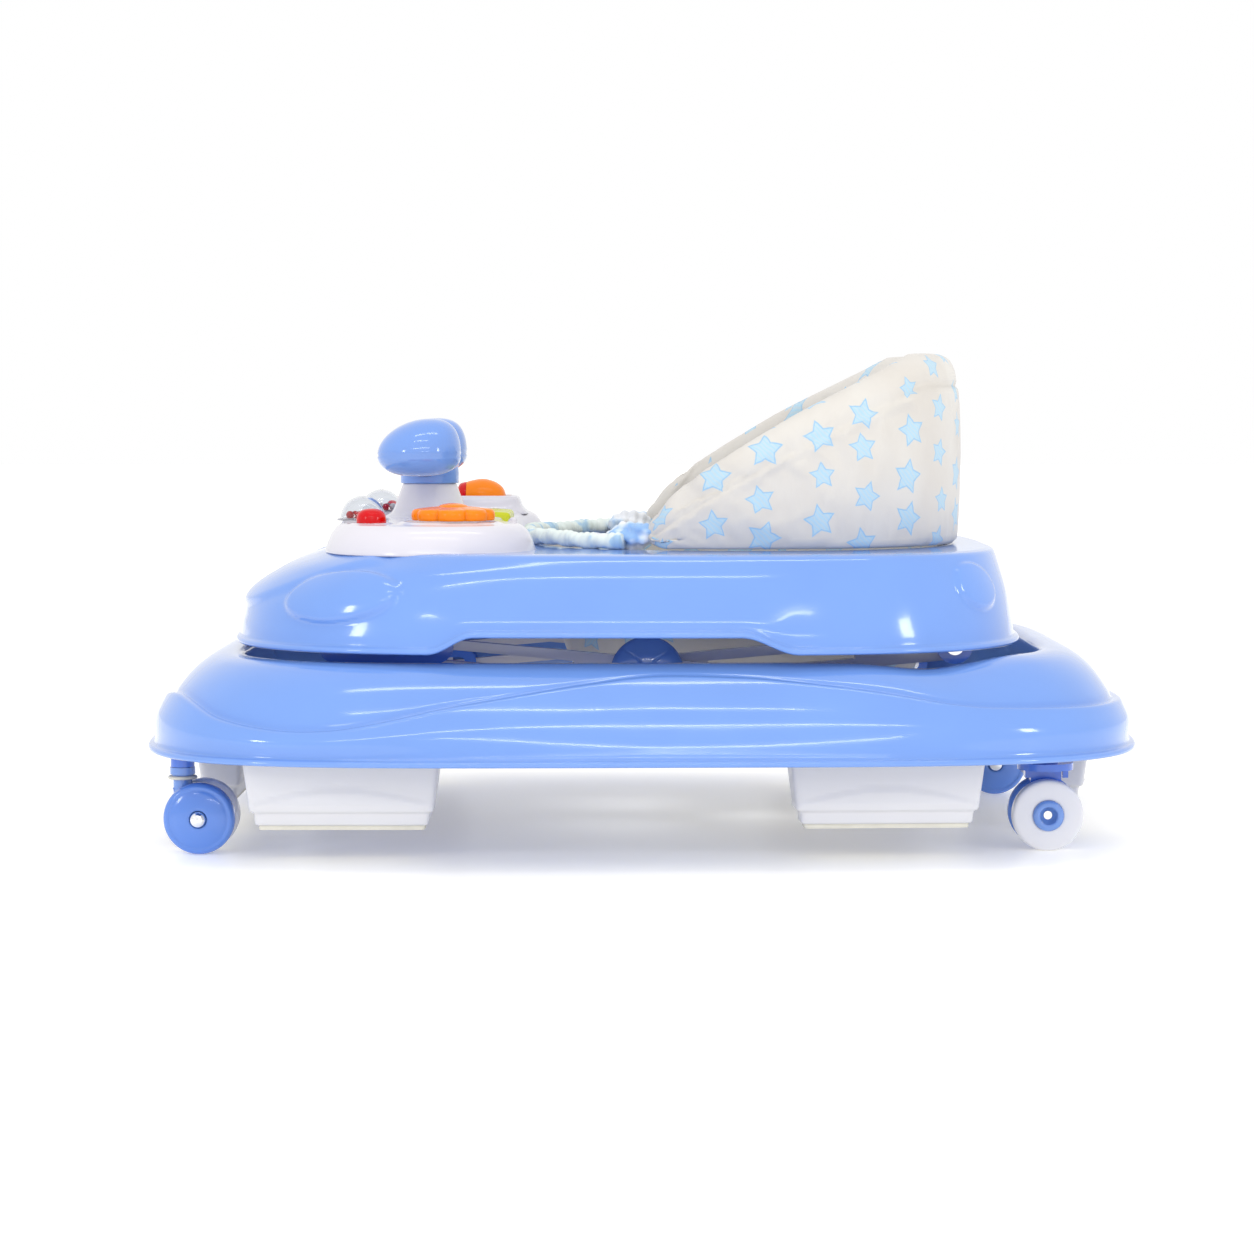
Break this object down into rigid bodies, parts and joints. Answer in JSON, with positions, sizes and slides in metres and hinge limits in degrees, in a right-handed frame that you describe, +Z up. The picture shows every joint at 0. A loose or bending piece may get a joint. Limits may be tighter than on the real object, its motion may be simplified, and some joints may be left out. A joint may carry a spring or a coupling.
{
  "type": "baby walker",
  "caption": "Round-cornered baby walker with a folding scissor lift, padded seat, toy tray and twin-wheel castors.",
  "frame": {"origin": "centre of the footprint on the floor", "axes": "+Z up; -X is forwards, the way the seated child faces; -Y is the left side"},
  "size_m": [0.724, 0.589, 0.3563],
  "materials": {
    "blue_plastic": "gloss moulded",
    "deep_blue_plastic": "gloss moulded",
    "white_plastic": "gloss moulded",
    "pad_rubber": "matt",
    "bright_steel": "polished",
    "orange_plastic": "gloss moulded",
    "red_plastic": "gloss moulded",
    "lime_plastic": "gloss moulded",
    "clear_plastic": "clear gloss",
    "star_fabric": "woven, printed with small stars",
    "elastic_trim": "gathered stripe"
  },
  "bodies": {
    "base": {"base_skirt": "blue_plastic", "stopper_front": "white_plastic", "stopper_rear": "white_plastic", "stopper_side_front_left": "white_plastic", "stopper_side_front_right": "white_plastic", "stopper_side_rear_left": "white_plastic", "stopper_side_rear_right": "white_plastic", "stopper_pads": "pad_rubber", "caster_sockets": "deep_blue_plastic", "rear_wheel_bracket_left": "deep_blue_plastic", "rear_wheel_bracket_right": "deep_blue_plastic", "base_pivot_brackets": "deep_blue_plastic", "base_slide_rail_left": "deep_blue_plastic", "base_slide_rail_right": "deep_blue_plastic", "base_pivot_pins": "bright_steel", "rear_axles": "bright_steel"},
    "outer_legs": {"outer_leg_left": "white_plastic", "outer_leg_right": "white_plastic", "upper_cross_tube": "bright_steel", "pivot_cap_left": "blue_plastic", "pivot_cap_right": "blue_plastic"},
    "inner_legs": {"inner_leg_left": "white_plastic", "inner_leg_right": "white_plastic", "lower_cross_tube": "bright_steel"},
    "tray": {"tray_shell": "blue_plastic", "tray_pivot_brackets": "deep_blue_plastic", "tray_slide_rail_left": "deep_blue_plastic", "tray_slide_rail_right": "deep_blue_plastic", "tray_pivot_pins": "bright_steel", "lock_hinge": "deep_blue_plastic", "seat_cover": "star_fabric", "seat_sling": "star_fabric", "seat_front_rim": "elastic_trim", "play_tray": "white_plastic", "steering_column": "white_plastic", "rattle_domes": "clear_plastic", "rattle_beads": "red_plastic", "roller_housing": "white_plastic"},
    "handle": {"steering_handle": "blue_plastic"},
    "flower": {"flower_button": "orange_plastic"},
    "roller": {"roller": "orange_plastic"},
    "lock": {"height_lock": "orange_plastic"},
    "caster_left": {"caster_fork_left": "blue_plastic", "caster_axle_left": "bright_steel"},
    "button_left": {"red_button_left": "red_plastic"},
    "front_blue_wheel_left": {"front_wheel_blue_left": "blue_plastic"},
    "front_white_wheel_left": {"front_wheel_white_left": "white_plastic"},
    "rear_blue_wheel_left": {"rear_wheel_blue_left": "blue_plastic"},
    "rear_white_wheel_left": {"rear_wheel_white_left": "white_plastic"},
    "caster_right": {"caster_fork_right": "blue_plastic", "caster_axle_right": "bright_steel"},
    "button_right": {"red_button_right": "red_plastic"},
    "front_blue_wheel_right": {"front_wheel_blue_right": "blue_plastic"},
    "front_white_wheel_right": {"front_wheel_white_right": "white_plastic"},
    "rear_blue_wheel_right": {"rear_wheel_blue_right": "blue_plastic"},
    "rear_white_wheel_right": {"rear_wheel_white_right": "white_plastic"},
    "key_1": {"piano_key_1": "lime_plastic"},
    "key_2": {"piano_key_2": "lime_plastic"},
    "key_3": {"piano_key_3": "lime_plastic"}
  },
  "joints": [
    {"name": "tray_lift", "type": "hinge", "parent": "base", "child": "outer_legs", "pos_m": [0.222, 0, 0.1075], "axis": [0, 1, 0], "range_deg": [0, 27]},
    {"name": "legs_cross", "type": "hinge", "parent": "outer_legs", "child": "inner_legs", "pos_m": [0.00291, 0, 0.1275], "axis": [0, 1, 0], "range_deg": [-55, 1]},
    {"name": "tray_level", "type": "hinge", "parent": "inner_legs", "child": "tray", "pos_m": [0.222, 0, 0.1475], "axis": [0, 1, 0], "range_deg": [-1, 28]},
    {"name": "caster_turn_left", "type": "hinge", "parent": "base", "child": "caster_left", "pos_m": [-0.329, -0.185, 0.06], "axis": [0, 0, 1], "continuous": true},
    {"name": "front_blue_spin_left", "type": "hinge", "parent": "caster_left", "child": "front_blue_wheel_left", "pos_m": [-0.3155, -0.199, 0.0255], "axis": [0, 1, 0], "continuous": true},
    {"name": "rear_blue_spin_left", "type": "hinge", "parent": "base", "child": "rear_blue_wheel_left", "pos_m": [0.29, -0.151, 0.0255], "axis": [0, 1, 0], "continuous": true},
    {"name": "front_white_spin_left", "type": "hinge", "parent": "caster_left", "child": "front_white_wheel_left", "pos_m": [-0.3155, -0.171, 0.0255], "axis": [0, 1, 0], "continuous": true},
    {"name": "rear_white_spin_left", "type": "hinge", "parent": "base", "child": "rear_white_wheel_left", "pos_m": [0.29, -0.179, 0.0255], "axis": [0, 1, 0], "continuous": true},
    {"name": "caster_turn_right", "type": "hinge", "parent": "base", "child": "caster_right", "pos_m": [-0.329, 0.185, 0.06], "axis": [0, 0, 1], "continuous": true},
    {"name": "front_blue_spin_right", "type": "hinge", "parent": "caster_right", "child": "front_blue_wheel_right", "pos_m": [-0.3155, 0.199, 0.0255], "axis": [0, 1, 0], "continuous": true},
    {"name": "rear_blue_spin_right", "type": "hinge", "parent": "base", "child": "rear_blue_wheel_right", "pos_m": [0.29, 0.151, 0.0255], "axis": [0, 1, 0], "continuous": true},
    {"name": "front_white_spin_right", "type": "hinge", "parent": "caster_right", "child": "front_white_wheel_right", "pos_m": [-0.3155, 0.171, 0.0255], "axis": [0, 1, 0], "continuous": true},
    {"name": "rear_white_spin_right", "type": "hinge", "parent": "base", "child": "rear_white_wheel_right", "pos_m": [0.29, 0.179, 0.0255], "axis": [0, 1, 0], "continuous": true},
    {"name": "handle_turn", "type": "hinge", "parent": "tray", "child": "handle", "pos_m": [-0.163, 0, 0.252], "axis": [0, 0, 1], "range_deg": [-45, 45]},
    {"name": "flower_press", "type": "slide", "parent": "tray", "child": "flower", "axis": [0, 0, 1], "range_m": [-0.0025, 0], "stiffness_N_per_m": 600},
    {"name": "button_press_left", "type": "slide", "parent": "tray", "child": "button_left", "axis": [0, 0, 1], "range_m": [-0.003, 0], "stiffness_N_per_m": 400},
    {"name": "button_press_right", "type": "slide", "parent": "tray", "child": "button_right", "axis": [0, 0, 1], "range_m": [-0.003, 0], "stiffness_N_per_m": 400},
    {"name": "key_press_1", "type": "slide", "parent": "tray", "child": "key_1", "axis": [0, 0, 1], "range_m": [-0.0012, 0], "stiffness_N_per_m": 400},
    {"name": "key_press_2", "type": "slide", "parent": "tray", "child": "key_2", "axis": [0, 0, 1], "range_m": [-0.0012, 0], "stiffness_N_per_m": 400},
    {"name": "key_press_3", "type": "slide", "parent": "tray", "child": "key_3", "axis": [0, 0, 1], "range_m": [-0.0012, 0], "stiffness_N_per_m": 400},
    {"name": "roller_spin", "type": "hinge", "parent": "tray", "child": "roller", "pos_m": [-0.129, 0.128, 0.2415], "axis": [1, 0, 0], "continuous": true},
    {"name": "lock_pull", "type": "hinge", "parent": "tray", "child": "lock", "pos_m": [-0.128, 0, 0.186], "axis": [0, 1, 0], "range_deg": [-6, 5], "stiffness_Nm_per_rad": 0.6}
  ],
  "couplings": [
    {"joint": "legs_cross", "follows": "tray_lift", "ratio": -2},
    {"joint": "tray_level", "follows": "tray_lift", "ratio": 1}
  ]
}
